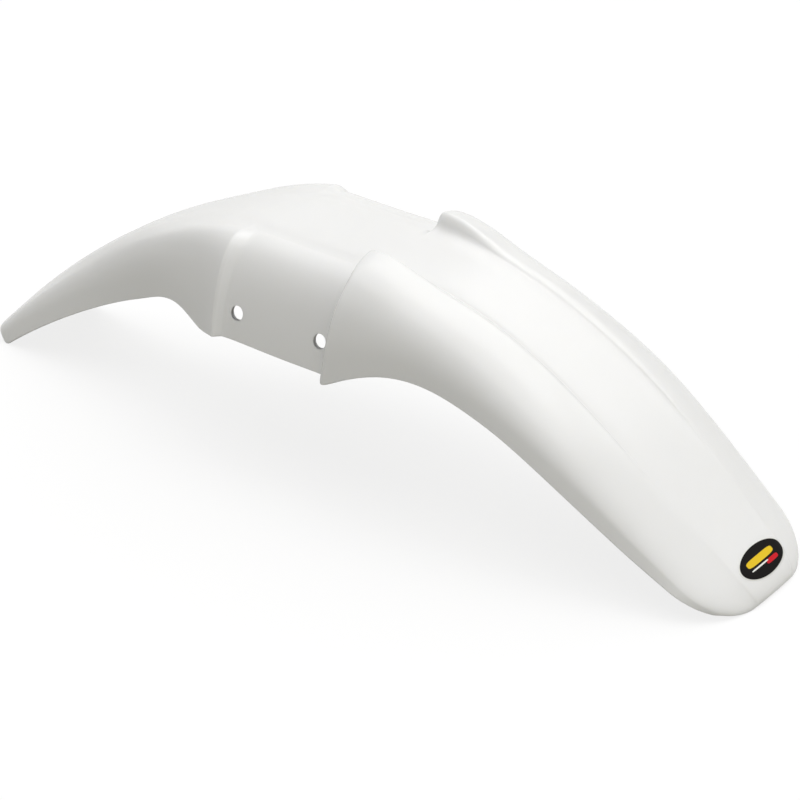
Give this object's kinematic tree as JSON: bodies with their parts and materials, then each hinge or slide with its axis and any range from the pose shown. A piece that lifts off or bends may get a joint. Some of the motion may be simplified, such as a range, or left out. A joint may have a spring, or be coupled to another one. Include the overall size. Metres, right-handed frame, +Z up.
{
  "type": "motorcycle front mudguard",
  "caption": "Moulded front mudguard with a narrow tail, a drilled recess that bolts between the fork legs and a long channelled blade with a lipped tip.",
  "frame": {"origin": "middle of the footprint, on the ground that the low ends of the tail and the blade rest on", "axes": "+X forward to the blade's tip, +Y to the rider's left, +Z up"},
  "size_m": [0.7406, 0.1906, 0.1936],
  "materials": {
    "white_plastic": "gloss"
  },
  "bodies": {
    "root": {"mudguard": "white_plastic"}
  },
  "joints": []
}
